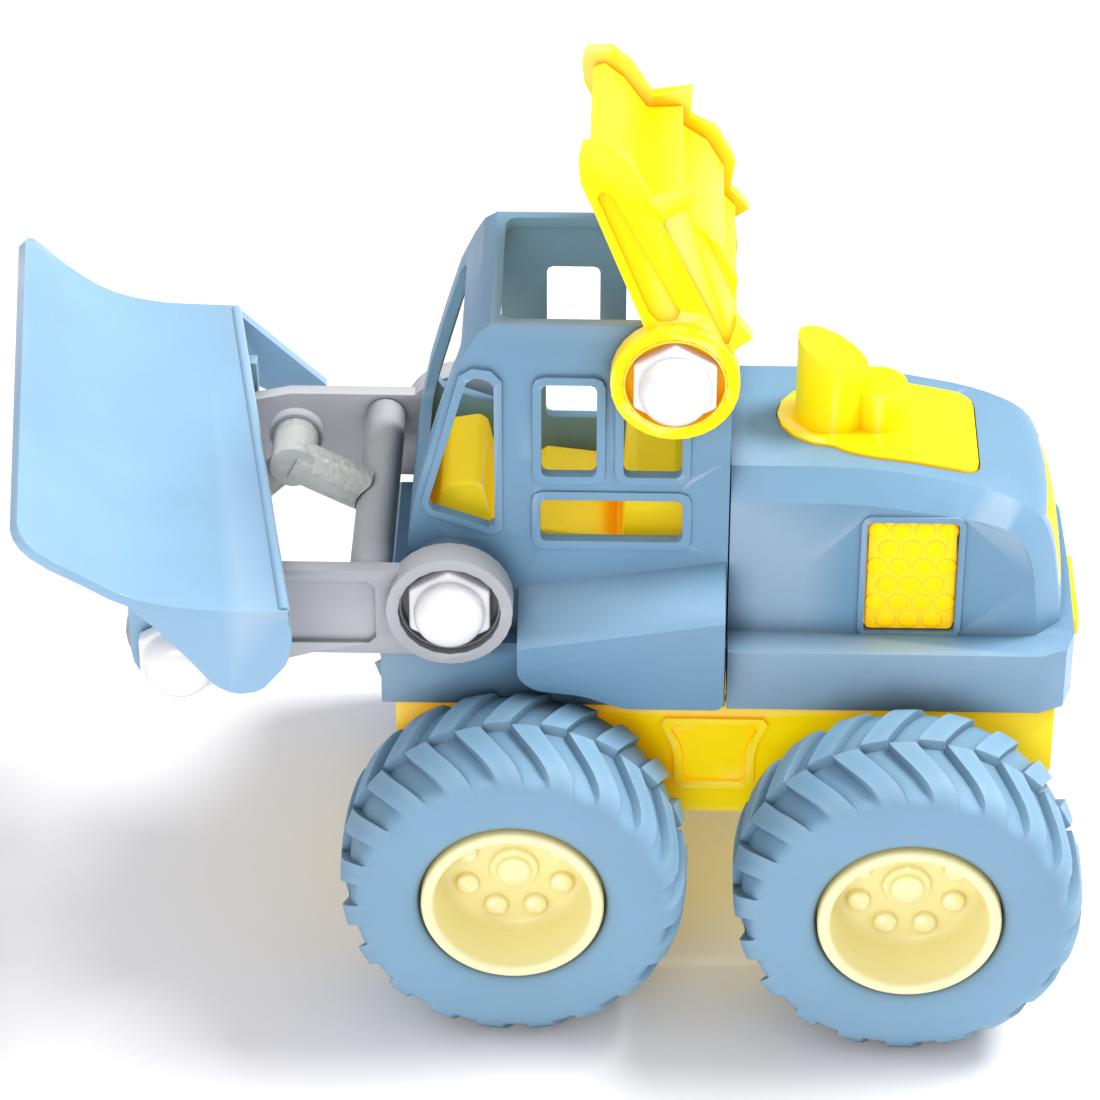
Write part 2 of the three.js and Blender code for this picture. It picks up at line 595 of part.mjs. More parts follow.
// ---- loader frame -------------------------------------------------------------------------
function loaderArm(s) {
  const shape = new THREE.Shape();
  shape.moveTo(LIFT.x, ARM_TOP_Z);
  shape.lineTo(46, ARM_TOP_Z);
  shape.lineTo(TIP.x, TIP.z + 11);
  shape.absarc(TIP.x, TIP.z, 11, Math.PI / 2, -Math.PI / 2, true);
  shape.lineTo(48, ARM_BOTTOM_Z - 3);
  shape.lineTo(38, ARM_BOTTOM_Z);
  shape.lineTo(LIFT.x, ARM_BOTTOM_Z);
  let arm = alongY(shape, ...span(s, ARM_IN_Y, ARM_OUT_Y), 6);
  arm = arm.add(rodY(LIFT, ...span(s, ARM_IN_Y, 34.4), RING_R, 28));
  arm = arm.add(rodY(TIP, ...span(s, ARM_IN_Y, LUG_IN_Y - GAP), 7, 20));
  const web = roundedPolygon([
    [26, ARM_TOP_Z - 2.4], [45, ARM_TOP_Z - 2.4], [50, 86], [50, 76], [40, ARM_BOTTOM_Z + 2.4],
    [26, ARM_BOTTOM_Z + 2.4],
  ], 1.4);
  arm = arm.subtract(alongY(web, ...span(s, ARM_OUT_Y - 1.1, ARM_OUT_Y + 3), 1));
  arm = arm.subtract(rodY(LIFT, ...span(s, ARM_IN_Y + 1.9, 40), CUP_R, 20));
  arm = arm.subtract(rodY(LIFT, ...span(s, 20, 40), SHANK_HOLE_R, 10));
  return arm.subtract(rodY(TIP, ...span(s, 20, 40), SHANK_HOLE_R, 10));
}

function crossTube() {
  const end = ARM_IN_Y - GAP;
  return rodY(CROSS_TUBE, -end, end, CROSS_TUBE.r, 16);
}

function frontTube() {
  const end = ARM_IN_Y - GAP;
  const tube = rodY(TIP, -end, end, FRONT_TUBE_R, 16);
  return without(
    tube,
    rodY(TIP, end - 9, end + 1, SHANK_HOLE_R, 10),
    rodY(TIP, -end - 1, -end + 9, SHANK_HOLE_R, 10),
  );
}

// The moulded lift linkage: two legs that meet at a cross boss on the centre line.
function liftLink() {
  const away = (from, to, skip) => {
    const length = Math.hypot(to.x - from.x, to.z - from.z);
    return [from.x + (to.x - from.x) * skip / length, 0, from.z + (to.z - from.z) * skip / length];
  };
  const node = [LINK_NODE.x, 0, LINK_NODE.z];
  const rearLeg = rod(node, away(CROSS_TUBE, LINK_NODE, CROSS_TUBE.r - 1), 4.2, 14);
  const frontLeg = rod(node, away(TIP, LINK_NODE, 4.2), 3, 12);
  const boss = rodY(LINK_NODE, LINK_NODE.yMin, LINK_NODE.yMax, LINK_NODE.r, 16);
  return without(
    joined(boss, rearLeg, frontLeg),
    rodY(LINK_NODE, LINK_NODE.yMin - 1, LINK_NODE.yMin + 6, 2.6, 12),
    rodY(CROSS_TUBE, -10, 10, CROSS_TUBE.r + GAP, 16),
    rodY(TIP, -10, 10, FRONT_TUBE_R + GAP, 16),
  );
}

// ---- front bucket -------------------------------------------------------------------------
// The blade curls from the lip to the rear rim; its left end stands further back than its right.
const BLADE_RIGHT = [[99.4, 115.2], [92.2, 107.8], [84, 101.8], [75, 99.2], [66.4, 98.6], [57.8, 98.4]];
const BLADE_LEFT = [[88.6, 113.4], [84, 109], [77, 104.8], [68.4, 100], [56, 97.8], [40.4, 97.6]];

const BLADE_STEPS = 12;
const LIP_CORNER_R = 4;
const LIP_STATIONS = [0, 0.4, 1.6, 4, 36]; // distances from each end at which the blade is drawn

function bucketBlade() {
  const curveOf = (points) => new THREE.SplineCurve(points.map(([x, z]) => new THREE.Vector2(x, z)));
  const right = curveOf(BLADE_RIGHT);
  const left = curveOf(BLADE_LEFT);
  const stations = [
    ...LIP_STATIONS.map((d) => [d, d - BLADE_HALF_W]),
    ...LIP_STATIONS.map((d) => [d, BLADE_HALF_W - d]).reverse(),
  ];
  const rings = [];
  for (const [fromEnd, y] of stations) {
    const t = (y / BLADE_HALF_W + 1) / 2;
    const inCorner = Math.max(LIP_CORNER_R - fromEnd, 0);
    const trim = (LIP_CORNER_R - Math.sqrt(LIP_CORNER_R ** 2 - inCorner ** 2)) / right.getLength();
    const line = [];
    for (let i = 0; i <= BLADE_STEPS; i++) {
      const u = trim + (1 - trim) * i / BLADE_STEPS;
      line.push(right.getPointAt(u).lerp(left.getPointAt(u), t));
    }
    const under = line.map((p, i) => {
      const ahead = line[Math.max(i - 1, 0)];
      const behind = line[Math.min(i + 1, line.length - 1)];
      const along = ahead.clone().sub(behind).normalize();
      return new THREE.Vector2(p.x + along.y * BLADE_T, p.y - along.x * BLADE_T);
    });
    rings.push([...line, ...under.reverse()].map((p) => [p.x, y, p.y]));
  }
  return lofted(rings);
}

function bucketShell() {
  const lobe = [[46, 79.6], [50.8, 78.8], [54.6, 80.8], [59, 86.8], [64.6, 93.4], [69.5, 98.2]];
  const leftCheek = roundedPolygon([[66, 98.2], [41, 97], [39.8, 92], [40.8, 86], ...lobe], 1);
  const rightCheek = roundedPolygon([[66, 98], [58, 98], [39.8, 80.4], ...lobe], 1);
  let shell = joined(
    bucketBlade(),
    alongY(leftCheek, BLADE_HALF_W - 2.2, BLADE_HALF_W, 1),
    alongY(rightCheek, -BLADE_HALF_W, -BLADE_HALF_W + 2.2, 1),
  );
  for (const { s } of SIDES) {
    const lug = new THREE.Shape();
    lug.moveTo(53, 95.9);
    lug.lineTo(TIP.x - 9.4, TIP.z);
    lug.absarc(TIP.x, TIP.z, 9.4, Math.PI, 2 * Math.PI);
    lug.lineTo(TIP.x + 9.6, 97.4);
    lug.lineTo(60, 95.9);
    shell = shell.add(alongY(lug, ...span(s, LUG_IN_Y, LUG_OUT_Y), 5));
    shell = shell.subtract(rodY(TIP, ...span(s, 30, 45), SHANK_HOLE_R, 10));
  }
  return shell;
}

// ---- rear boom ----------------------------------------------------------------------------
// Side outline of the boom head, from the front of the beam round the elbow to the rear teeth.
const BOOM_OUTLINE = [
  [-23.6, 141.2], [-14.2, 163.6], [-11.7, 169], [-11.3, 173], [-12, 176], [-16.8, 176.2],
  [-20.6, 172.6], [-24.2, 166], [-31.8, 167.3], [-31.4, 161.4], [-36.4, 158.2], [-40, 151],
  [-39.2, 144.6], [-42.9, 139.9], [-39.3, 137.2],
];

// The side plates lean inward as they rise above the cab: y falls with height above the pivot.
function leanMatrix(s) {
  const shear = new THREE.Matrix4().makeShear(0, 0, 0, 0, 0, -s * BOOM_LEAN);
  return shear.setPosition(0, s * BOOM_LEAN * SWING.z, 0);
}

function boomArm(s) {
  const face = outline([...BOOM_OUTLINE, [SWING.x - 6, SWING.z], [SWING.x + 8, SWING.z]]);
  const inner = BOOM_RING_IN_Y + 0.4;
  const outer = inner + 2.8;
  const panel = roundedPolygon([
    [-14.2, 167.6], [-17, 167.6], [-30.4, 144], [-27, 142.4], [-24.6, 143.6],
  ], 1.2);
  const ramChannel = roundedPolygon([
    [-26, 162.4], [-31.2, 164.6], [-34.4, 160], [-39.6, 147.6], [-39.9, 143], [-38.4, 138],
  ], 0.8);
  const lean = leanMatrix(s);
  const plate = alongY(face, ...span(s, inner, outer), 2, lean);
  const pressed = without(
    plate,
    alongY(panel, ...span(s, outer - 0.8, outer + 3), 1, lean),
    alongY(ramChannel, ...span(s, outer - 0.7, outer + 3), 1, lean),
  );
  const arm = pressed.add(rodY(SWING, ...span(s, BOOM_RING_IN_Y, BOOM_RING_OUT_Y), RING_R, 28));
  return without(
    arm,
    rodY(SWING, ...span(s, BOOM_RING_IN_Y + 1.6, 40), CUP_R, 20),
    rodY(SWING, ...span(s, 10, 40), SHANK_HOLE_R, 10),
  );
}

// The cross shell between the side plates: the back of the folded scoop, with a toothed edge.
function boomScoop() {
  const rear = [
    [-15.4, 174], [-19, 170.8], [-23.4, 164], [-30, 164.4], [-30, 160], [-34.6, 156.6], [-37.8, 150.6],
    [-37.4, 144.6], [-40.4, 140.9],
  ];
  const inner = rear.map(([x, z]) => [x + 2.4, z - 0.9]).reverse();
  const slab = alongY(outline([...rear, ...inner]), -24, 24);
  const inside = (z) => BOOM_RING_IN_Y + 0.4 - GAP - BOOM_LEAN * (z - SWING.z);
  const keep = alongX(outline([
    [-inside(138), 138], [inside(138), 138], [inside(178), 178], [-inside(178), 178],
  ]), -60, 0);
  return slab.intersect(keep);
}

// ---- assembly -----------------------------------------------------------------------------
place('chassis_tub', chassisTub(), brightYellow);
for (const screw of SCREWS) place(`chassis_screw_${screw.name}`, chassisScrew(screw), steel);
place('cab_shell', cabShell(), bodyBlue);
place('hood_shell', hoodShell(), bodyBlue);
place('floor_pan', floorPan(), brightYellow);
place('control_console', controlConsole(), brightYellow);
place('driver_seat', driverSeat(), brightYellow);
place('hood_insert', hoodInsert(), brightYellow);
place('rear_grille', rearGrille(), brightYellow);
place('rear_bumper', rearBumper(), brightYellow);
place('loader_cross_tube', crossTube(), frameGrey);
place('loader_front_tube', frontTube(), frameGrey);
place('loader_lift_link', liftLink(), frameGrey);
place('bucket_shell', bucketShell(), bucketBlue);
place('boom_scoop', boomScoop(), brightYellow);

for (const { side, s } of SIDES) {
  place(`side_vent_${side}`, sideVent(s), brightYellow);
  place(`loader_arm_${side}`, loaderArm(s), frameGrey);
  place(`boom_arm_${side}`, boomArm(s), brightYellow);
  place(`loader_bolt_${side}`, bolt(LIFT, s, ARM_IN_Y + 1.9 + GAP, 16), boltWhite);
  place(`bucket_bolt_${side}`, bolt(TIP, s, LUG_OUT_Y + GAP, 21), boltWhite);
  place(`boom_bolt_${side}`, bolt(SWING, s, BOOM_RING_IN_Y + 1.6 + GAP, 16.5), boltWhite);
}

for (const { end, x, tyreY } of AXLES) {
  place(`${end}_axle`, rodY({ x, z: TYRE_R }, -tyreY + 1, tyreY - 1, AXLE_R, 12), steel);
  for (const { side, s } of SIDES) {
    place(`tyre_${end}_${side}`, tyre(x, s * tyreY, s), tyreBlue);
    place(`rim_${end}_${side}`, rim(x, s * tyreY, s), rimCream);
  }
}

// The origin is the middle of the overall footprint, on the ground.
model.position.x = -new THREE.Box3().setFromObject(model).getCenter(new THREE.Vector3()).x;

export default model;
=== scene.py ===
"""Looks of the toy backhoe loader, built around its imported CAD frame.

Metres, as the frame is: +X is forward, +Y is the vehicle's left, +Z is up, and the ground is z = 0.
Small sizes are written in millimetres and multiplied by MM. Every place comes from a CAD node's box.
"""
import json
import math

import bmesh
import bpy
from mathutils import Matrix, Vector


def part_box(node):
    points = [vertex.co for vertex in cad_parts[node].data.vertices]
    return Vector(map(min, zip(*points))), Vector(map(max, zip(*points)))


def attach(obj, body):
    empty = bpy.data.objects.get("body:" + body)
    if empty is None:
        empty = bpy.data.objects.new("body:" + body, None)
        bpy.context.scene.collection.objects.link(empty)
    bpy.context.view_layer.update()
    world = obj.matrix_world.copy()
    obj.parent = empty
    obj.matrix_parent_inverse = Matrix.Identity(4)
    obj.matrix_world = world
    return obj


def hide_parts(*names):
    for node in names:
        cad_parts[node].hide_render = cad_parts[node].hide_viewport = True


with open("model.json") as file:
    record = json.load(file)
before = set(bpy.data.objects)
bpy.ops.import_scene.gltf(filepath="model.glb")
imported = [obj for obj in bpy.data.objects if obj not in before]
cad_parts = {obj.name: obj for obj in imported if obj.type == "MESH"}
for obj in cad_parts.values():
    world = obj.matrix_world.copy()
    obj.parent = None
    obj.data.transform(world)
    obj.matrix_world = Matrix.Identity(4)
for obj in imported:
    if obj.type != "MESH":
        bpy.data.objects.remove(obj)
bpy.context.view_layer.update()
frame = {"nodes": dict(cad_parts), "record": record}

MM = 0.001
SIDES = (("left", 1), ("right", -1))
BODY_OF = {
    node: body
    for body, members in frame["record"]["behaviour"]["bodies"].items()
    for node in members
}


def centre(node):
    low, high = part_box(node)
    return (low + high) / 2


# ---- materials ------------------------------------------------------------------------------


def ramp(nodes, stops):
    """A colour ramp through (position, colour) pairs."""
    node = nodes.new("ShaderNodeValToRGB")
    first, last = node.color_ramp.elements
    first.position, first.color = stops[0][0], (*stops[0][1], 1)
    last.position, last.color = stops[-1][0], (*stops[-1][1], 1)
    for position, colour in stops[1:-1]:
        node.color_ramp.elements.new(position).color = (*colour, 1)
    return node


def noise(tree, coords, scale, detail=3.0, roughness=0.5):
    """Noise in object space, with scale in waves a metre."""
    node = tree.nodes.new("ShaderNodeTexNoise")
    node.inputs["Scale"].default_value = scale
    node.inputs["Detail"].default_value = detail
    node.inputs["Roughness"].default_value = roughness
    tree.links.new(coords.outputs["Object"], node.inputs["Vector"])
    return node


NOISE_RANGE = (0.3, 0.7)  # where nearly all of a noise texture's values lie


def mapped(tree, source, low, high):
    """Spreads a noise between two values."""
    node = tree.nodes.new("ShaderNodeMapRange")
    node.inputs["From Min"].default_value = NOISE_RANGE[0]
    node.inputs["From Max"].default_value = NOISE_RANGE[1]
    node.inputs["To Min"].default_value = low
    node.inputs["To Max"].default_value = high
    tree.links.new(source, node.inputs["Value"])
    return node


def scaled(colour, factor):
    return tuple(min(1.0, c * factor) for c in colour)


PAINTED_SHADE_REACH = 7.0  # how far the painted shade of a recess spreads, in mm
EDGE_RANGE = (0.52, 0.62)  # pointiness where an edge starts to turn pale with wear and painted highlight, and where it is fully pale
PAINTED_SHADE_RANGE = (0.25, 0.85)  # openness where the painted shade of a recess is darkest, and where there is none
RIPPLE_DEPTH = 0.25  # in mm
RIPPLE_STRENGTH = 0.12
COAT_ROUGHNESS = 0.12


def moulded(
    name, colour, rough, grain=0.1, grain_scale=900.0, clouds=0.05, wear_and_highlight=0.3, coat=0.0, metal=0.0,
    painted_glow=0.0, specular=0.5, painted_shade_colour=None, grain_depth=0.12,
):
    """Injection-moulded surface: cloudy pigment, edges paled by wear and painted highlight, painted shade in
    crevices, grain, uneven gloss.

    Its emission is painted light: it lifts the shaded parts, and stands for the light that a bright
    translucent pigment scatters back from its own depth.
    Grain depth is in millimetres.
    """
    material = bpy.data.materials.new(name)
    material.use_nodes = True
    tree = material.node_tree
    link = tree.links.new
    shader = tree.nodes["Principled BSDF"]
    shader.inputs["Metallic"].default_value = metal
    shader.inputs["Coat Weight"].default_value = coat
    shader.inputs["Coat Roughness"].default_value = COAT_ROUGHNESS
    shader.inputs["Specular IOR Level"].default_value = specular
    # Painted light: emission in the surface's colour brightens its shaded parts.
    shader.inputs["Emission Strength"].default_value = painted_glow
    coords = tree.nodes.new("ShaderNodeTexCoord")

    cloud = noise(tree, coords, 38.0, 4.0)
    shades = (scaled(colour, 1 - clouds), scaled(colour, 1 + clouds))
    pigment = ramp(tree.nodes, list(zip(NOISE_RANGE, shades)))
    link(cloud.outputs["Fac"], pigment.inputs["Fac"])
    geometry = tree.nodes.new("ShaderNodeNewGeometry")
    # Pale edges: partly wear, partly a painted highlight along convex edges.
    edge = tree.nodes.new("ShaderNodeMapRange")
    edge.inputs["From Min"].default_value = EDGE_RANGE[0]
    edge.inputs["From Max"].default_value = EDGE_RANGE[1]
    edge.inputs["To Max"].default_value = wear_and_highlight
    link(geometry.outputs["Pointiness"], edge.inputs["Value"])
    mix = tree.nodes.new("ShaderNodeMix")
    mix.data_type = "RGBA"
    pale = tuple(c + (1 - c) * 0.5 for c in colour)
    mix.inputs["B"].default_value = (*pale, 1)
    link(edge.outputs["Result"], mix.inputs["Factor"])
    link(pigment.outputs["Color"], mix.inputs["A"])
    # Painted shade: ambient occlusion darkens the colour toward a shade colour in crevices, recesses and
    # between parts.
    recess = tree.nodes.new("ShaderNodeAmbientOcclusion")
    recess.samples = 4
    recess.inputs["Distance"].default_value = PAINTED_SHADE_REACH * MM
    depth = tree.nodes.new("ShaderNodeMapRange")
    depth.inputs["From Min"].default_value = PAINTED_SHADE_RANGE[0]
    depth.inputs["From Max"].default_value = PAINTED_SHADE_RANGE[1]
    link(recess.outputs["AO"], depth.inputs["Value"])
    painted_shade_mix = tree.nodes.new("ShaderNodeMix")
    painted_shade_mix.data_type = "RGBA"
    painted_shade_mix.inputs["A"].default_value = (*(painted_shade_colour or scaled(colour, 0.3)), 1)
    link(depth.outputs["Result"], painted_shade_mix.inputs["Factor"])
    link(mix.outputs["Result"], painted_shade_mix.inputs["B"])
    link(painted_shade_mix.outputs["Result"], shader.inputs["Base Color"])
    link(painted_shade_mix.outputs["Result"], shader.inputs["Emission Color"])

    handled = noise(tree, coords, 70.0, 5.0, 0.6)
    gloss = mapped(tree, handled.outputs["Fac"], rough - 0.06, rough + 0.08)
    link(gloss.outputs["Result"], shader.inputs["Roughness"])

    fine = noise(tree, coords, grain_scale, 2.0)
    wavy = noise(tree, coords, 110.0, 2.0)
    ripple = tree.nodes.new("ShaderNodeBump")
    ripple.inputs["Strength"].default_value = RIPPLE_STRENGTH
    ripple.inputs["Distance"].default_value = RIPPLE_DEPTH * MM
    link(wavy.outputs["Fac"], ripple.inputs["Height"])
    bump = tree.nodes.new("ShaderNodeBump")
    bump.inputs["Strength"].default_value = grain
    bump.inputs["Distance"].default_value = grain_depth * MM
    link(fine.outputs["Fac"], bump.inputs["Height"])
    link(ripple.outputs["Normal"], bump.inputs["Normal"])
    link(bump.outputs["Normal"], shader.inputs["Normal"])
    return material


# The colours given for recesses below are painted shade.
MATERIALS = {
    "body_plastic": moulded("body_plastic", (0.165, 0.33, 0.485), 0.44, grain=0.5, grain_scale=750.0),
    "bucket_plastic": moulded("bucket_plastic", (0.26, 0.47, 0.67), 0.2, grain=0.1, coat=0.35),
    # The yellow and the rim take painted light from emission.
    "yellow_plastic": moulded(
        "yellow_plastic", (0.97, 0.72, 0.001), 0.45, grain=0.15, clouds=0.02, painted_glow=0.26, specular=0.12,
        painted_shade_colour=(0.80, 0.34, 0.0),
    ),
    # The rim's edges turn fully pale: mostly a painted highlight on its lip.
    "rim_plastic": moulded(
        "rim_plastic", (0.88, 0.82, 0.42), 0.33, grain=0.08, clouds=0.03, wear_and_highlight=1.0, coat=0.2, painted_glow=0.06,
        painted_shade_colour=(0.74, 0.62, 0.22),
    ),
    "tyre_rubber": moulded("tyre_rubber", (0.20, 0.37, 0.52), 0.6, grain=0.5, grain_scale=700.0),
    "frame_plastic": moulded("frame_plastic", (0.45, 0.465, 0.49), 0.36, grain=0.45, grain_scale=500.0),
    "bolt_plastic": moulded(
        "bolt_plastic", (0.93, 0.93, 0.93), 0.16, grain=0.03, clouds=0.01, coat=0.4, painted_shade_colour=(0.6, 0.58, 0.66)
    ),
    "steel": moulded("steel", (0.52, 0.53, 0.55), 0.32, grain=0.1, metal=1.0),
}
PEBBLED = moulded(
    "pebbled_frame", (0.56, 0.59, 0.56), 0.34, grain=1.0, grain_scale=520.0, clouds=0.15, grain_depth=0.6
)

# ---- mesh helpers ---------------------------------------------------------------------------


class Shape:
    """Collects closed shells, in millimetres about a local centre, into one mesh."""

    def __init__(self):
        self.points = []
        self.faces = []

    def add(self, points, faces):
        base = len(self.points)
        self.points += [tuple(p) for p in points]
        self.faces += [[base + i for i in face] for face in faces]

    def rings(self, rings):
        """Skins equal closed rings of points; the last ring joins the first."""
        count = len(rings[0])
        points = [p for ring in rings for p in ring]
        faces = []
        for k in range(len(rings)):
            here, there = k * count, (k + 1) % len(rings) * count
            for i in range(count):
                j = (i + 1) % count
                faces.append([here + i, here + j, there + j, there + i])
        self.add(points, faces)

    def turned(self, profile, x=0.0, z=0.0, segments=64, phase=0.0):
        """Turns (radius, y) pairs about the Y axis. Ends at radius 0 become poles; otherwise it closes."""
        poles = profile[0][0] == 0 and profile[-1][0] == 0
        body = profile[1:-1] if poles else profile
        points, faces = [], []
        for radius, y in body:
            for k in range(segments):
                a = phase + 2 * math.pi * k / segments
                points.append((x + radius * math.sin(a), y, z + radius * math.cos(a)))
        rows = len(body)
        for i in range(rows - 1 if poles else rows):
            here, there = i * segments, (i + 1) % rows * segments
            for k in range(segments):
                j = (k + 1) % segments
                faces.append([here + k, here + j, there + j, there + k])
        if poles:
            points.append((x, profile[0][1], z))
            points.append((x, profile[-1][1], z))
            last = (rows - 1) * segments
            for k in range(segments):
                j = (k + 1) % segments
                faces.append([rows * segments, j, k])
                faces.append([rows * segments + 1, last + k, last + j])
        self.add(points, faces)

    def slab(self, outline, y_in, y_out):
        """A flat outline of (x, z) pairs between two y values."""
        n = len(outline)
        points = [(x, y_in, z) for x, z in outline] + [(x, y_out, z) for x, z in outline]
        faces = [list(range(n)), list(range(2 * n - 1, n - 1, -1))]
        faces += [[i, i + n, (i + 1) % n + n, (i + 1) % n] for i in range(n)]
        self.add(points, faces)

    def tube(self, start, end, r, segments=16):
        """A straight round bar between two points."""
        start, end = Vector(start), Vector(end)
        along = (end - start).normalized()
        side = along.orthogonal()
        points = []
        for middle in (start, end):
            for k in range(segments):
                turn = Matrix.Rotation(2 * math.pi * k / segments, 3, along)
                points.append(middle + turn @ side * r)
        faces = [list(range(segments)), list(range(segments, 2 * segments))[::-1]]
        for k in range(segments):
            j = (k + 1) % segments
            faces.append([k, j, segments + j, segments + k])
        self.add(points, faces)


def arc(cx, cz, r, start, end, steps):
    """Points on a circle from one angle to another, in degrees."""
    angles = [math.radians(start + (end - start) * k / steps) for k in range(steps + 1)]
    return [(cx + r * math.cos(a), cz + r * math.sin(a)) for a in angles]


def rounded_box(x0, x1, z0, z1, r, steps=6):
    corners = ((x1 - r, z0 + r, -90), (x1 - r, z1 - r, 0), (x0 + r, z1 - r, 90), (x0 + r, z0 + r, 180))
    return [p for cx, cz, a in corners for p in arc(cx, cz, r, a, a + 90, steps)]


def settle(mesh, sharp):
    """Outward faces, smooth shading and sharp edges above an angle in degrees."""
    bm = bmesh.new()
    bm.from_mesh(mesh)
    bmesh.ops.recalc_face_normals(bm, faces=bm.faces)
    bm.to_mesh(mesh)
    bm.free()
    mesh.polygons.foreach_set("use_smooth", [True] * len(mesh.polygons))
    mesh.set_sharp_from_angle(angle=math.radians(sharp))


def place(name, shape, origin, slot, nodes, body=None, bevel=0.0, sharp=35.0):
    """Makes a piece from a shape, puts it at origin, and lets it ride and stand for CAD nodes."""
    mesh = bpy.data.meshes.new(name)
    mesh.from_pydata([Vector(p) * MM for p in shape.points], [], shape.faces)
    mesh.transform(Matrix.Translation(origin))
    settle(mesh, sharp)
    piece = bpy.data.objects.new(name, mesh)
    bpy.context.scene.collection.objects.link(piece)
    mesh.materials.append(MATERIALS[slot])
    if bevel:
        rounding(piece, bevel)
    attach(piece, body or BODY_OF[nodes[0]])
    if nodes:
        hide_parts(*nodes)
    return piece


def rounding(piece, width, segments=3, angle=32.0):
    """Rounds an object's sharp edges and keeps its flat faces flat."""
    bevel = piece.modifiers.new("rounded_edges", "BEVEL")
    bevel.width = width * MM
    bevel.segments = segments
    bevel.limit_method = "ANGLE"
    bevel.angle_limit = math.radians(angle)
    bevel.harden_normals = True
    bevel.miter_outer = "MITER_ARC"


def carried(node, slot, width):
    """A CAD node that keeps its own shape, with welded facets, rounded edges and a finish."""
    piece = frame["nodes"][node]
    piece.data.materials.clear()
    piece.data.materials.append(PEBBLED if node == "loader_lift_link" else MATERIALS[slot])
    piece.data.polygons.foreach_set("use_smooth", [True] * len(piece.data.polygons))
    weld = piece.modifiers.new("welded", "WELD")
    weld.merge_threshold = 0.01 * MM
    flat = piece.modifiers.new("flat_faces", "DECIMATE")
    flat.decimate_type = "DISSOLVE"
    flat.angle_limit = math.radians(1.0)
    rounding(piece, width)


# ---- wheels ---------------------------------------------------------------------------------

LUGS = 19
LUG_DEPTH = 1.7
SWEEP = math.radians(15.5)
LUG_START = {"front": math.radians(-8.2), "rear": math.radians(-0.6)}
OUTER_HALF = 14.2  # half widths of the tyre outside and inside its middle plane, in mm
INNER_HALF = 13.6
TYRE_R = 33.0
MIDDLE_RIB_HALF = 0.35  # half width of the strip where the two rows of lugs meet, in mm
# Half section of the tyre, from beside the middle of the tread to the bead: radius, share of the half width.
TYRE_SECTION = (
    (TYRE_R, 0.1), (32.95, 0.3), (32.8, 0.5), (32.5, 0.67), (31.9, 0.81), (30.9, 0.91),
    (29.6, 0.97), (28.2, 0.995), (26.0, 1.0), (23.5, 1.0), (21.0, 0.995), (19.2, 0.965), (18.1, 0.915),
    (17.6, 0.86),
)
TREAD_ROWS = 8  # the rows of that section that carry lugs, counted from the middle
FADE_ROWS = 3.0  # the last of them, over which the gaps between lugs grow shallow
SWEEP_CURVE = 1.15
LUG_COLUMNS = (0.02, 0.14, 0.26, 0.38, 0.48, 0.52, 0.64, 0.76, 0.88, 0.98)


def tyre(end, side, s):
    """Balloon tyre with two staggered rows of swept lugs that meet in chevrons."""
    node = f"tyre_{end}_{side}"
    near = [(r, share * OUTER_HALF, k, 1) for k, (r, share) in enumerate(TYRE_SECTION, 1)]
    far = [(r, -share * INNER_HALF, k, -1) for k, (r, share) in enumerate(TYRE_SECTION, 1)]
    middle = [(TYRE_R, MIDDLE_RIB_HALF, 0, 1), (TYRE_R, -MIDDLE_RIB_HALF, 0, -1)]
    section = near[::-1] + middle + far
    rings = []
    for r, d, k, half in section:
        reach = min(1.0, abs(d) / OUTER_HALF)
        deep = LUG_DEPTH * min(1.0, max(0.0, (TREAD_ROWS - k) / FADE_ROWS))
        ring = []
        for lug in range(LUGS):
            for part in LUG_COLUMNS:
                raised = (part < 0.5) == (half > 0)
                radius = r if raised or k >= TREAD_ROWS else r - deep
                a = LUG_START[end] + (lug + part) * 2 * math.pi / LUGS - SWEEP * reach ** SWEEP_CURVE
                ring.append((radius * math.sin(a), s * d, radius * math.cos(a)))
        rings.append(ring)
    shape = Shape()
    shape.rings(rings)
    middle_plane = centre(node) - Vector((0, s * (OUTER_HALF - INNER_HALF) / 2 * MM, 0))
    place(f"{node}_tread", shape, middle_plane, "tyre_rubber", [node], sharp=40)


RIM_R = 17.3
DISH_DEPTH = 12.5
NUT_BUMPS = 8
BUMP_RING_R = 9.8
BUMP_TURN = {"front": 24.5, "rear": 22.5}  # angle of the first nut bump from the top, in degrees
# Half profile of a nut bump: radius and height over the disc.
NUT_BUMP = ((0, -0.5), (2.25, -0.5), (2.25, 0.9), (2.0, 1.25), (1.4, 1.45), (0, 1.5))


